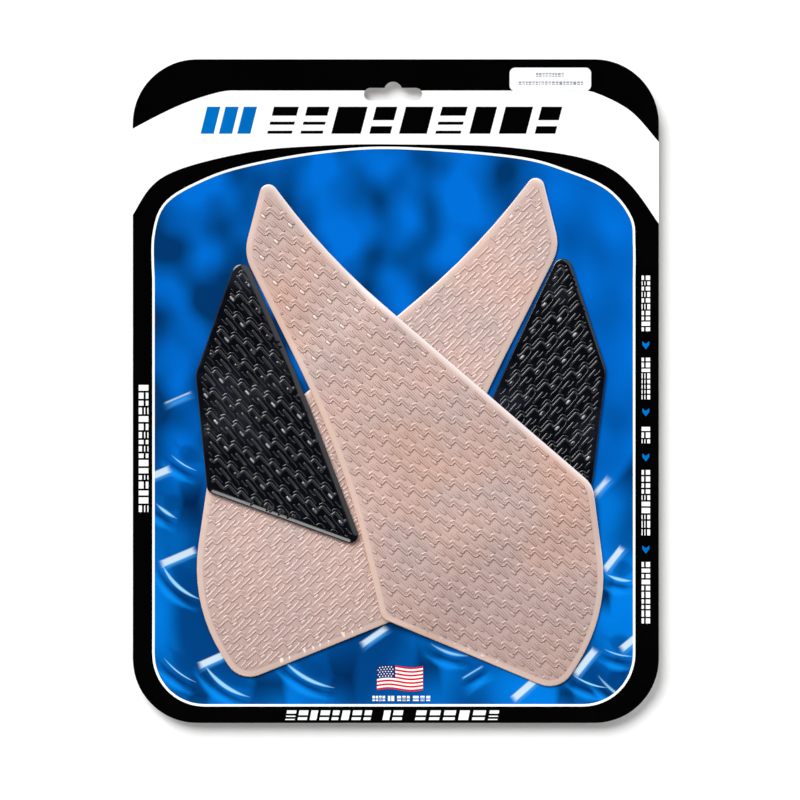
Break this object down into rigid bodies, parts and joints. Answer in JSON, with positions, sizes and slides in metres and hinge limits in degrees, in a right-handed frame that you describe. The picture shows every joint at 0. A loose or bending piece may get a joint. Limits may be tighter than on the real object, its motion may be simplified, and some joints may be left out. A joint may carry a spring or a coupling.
{
  "type": "carded traction pad kit",
  "caption": "Flexible stick-on traction pads in mirrored pairs, large clear and small black, stacked on a printed card with a hang hole.",
  "frame": {"origin": "centre of the card's back face; the card lies on its back, face up", "axes": "+X to the right across the printed face, +Y towards the hang hole, +Z out of the printed face"},
  "size_m": [0.287, 0.362, 0.0072],
  "materials": {
    "printed_board": "gloss",
    "label_paper": "matte",
    "clear_tread": "gloss",
    "black_tread": "gloss",
    "adhesive": "gloss",
    "release_liner": "satin",
    "glue": "gloss"
  },
  "bodies": {
    "card": {"backing_card": "printed_board", "item_label": "label_paper"},
    "rear_liner": {"rear_glue_dots": "glue", "rear_liner": "release_liner"},
    "rear_pad": {"rear_adhesive": "adhesive", "rear_tread": "clear_tread"},
    "right_small_liner": {"right_small_glue_dots": "glue", "right_small_liner": "release_liner"},
    "right_small_pad": {"right_small_adhesive": "adhesive", "right_small_tread": "black_tread"},
    "left_small_liner": {"left_small_glue_dots": "glue", "left_small_liner": "release_liner"},
    "left_small_pad": {"left_small_adhesive": "adhesive", "left_small_tread": "black_tread"},
    "front_liner": {"front_glue_dots": "glue", "front_liner": "release_liner"},
    "front_pad": {"front_adhesive": "adhesive", "front_tread": "clear_tread"}
  },
  "joints": [
    {"name": "rear_pad_lift", "type": "slide", "parent": "card", "child": "rear_liner", "axis": [0, 0, 1], "range_m": [0, 0.06]},
    {"name": "rear_liner_peel", "type": "slide", "parent": "rear_liner", "child": "rear_pad", "axis": [0, 0, 1], "range_m": [0, 0.06]},
    {"name": "right_small_pad_lift", "type": "slide", "parent": "card", "child": "right_small_liner", "axis": [0, 0, 1], "range_m": [0, 0.06]},
    {"name": "right_small_liner_peel", "type": "slide", "parent": "right_small_liner", "child": "right_small_pad", "axis": [0, 0, 1], "range_m": [0, 0.06]},
    {"name": "left_small_pad_lift", "type": "slide", "parent": "rear_pad", "child": "left_small_liner", "axis": [0, 0, 1], "range_m": [0, 0.06]},
    {"name": "left_small_liner_peel", "type": "slide", "parent": "left_small_liner", "child": "left_small_pad", "axis": [0, 0, 1], "range_m": [0, 0.06]},
    {"name": "front_pad_lift", "type": "slide", "parent": "rear_pad", "child": "front_liner", "axis": [0, 0, 1], "range_m": [0, 0.06]},
    {"name": "front_liner_peel", "type": "slide", "parent": "front_liner", "child": "front_pad", "axis": [0, 0, 1], "range_m": [0, 0.06]}
  ],
  "couplings": [
    {"joint": "right_small_pad_lift", "follows": "rear_pad_lift", "ratio": 1},
    {"joint": "right_small_liner_peel", "follows": "rear_liner_peel", "ratio": 1}
  ]
}
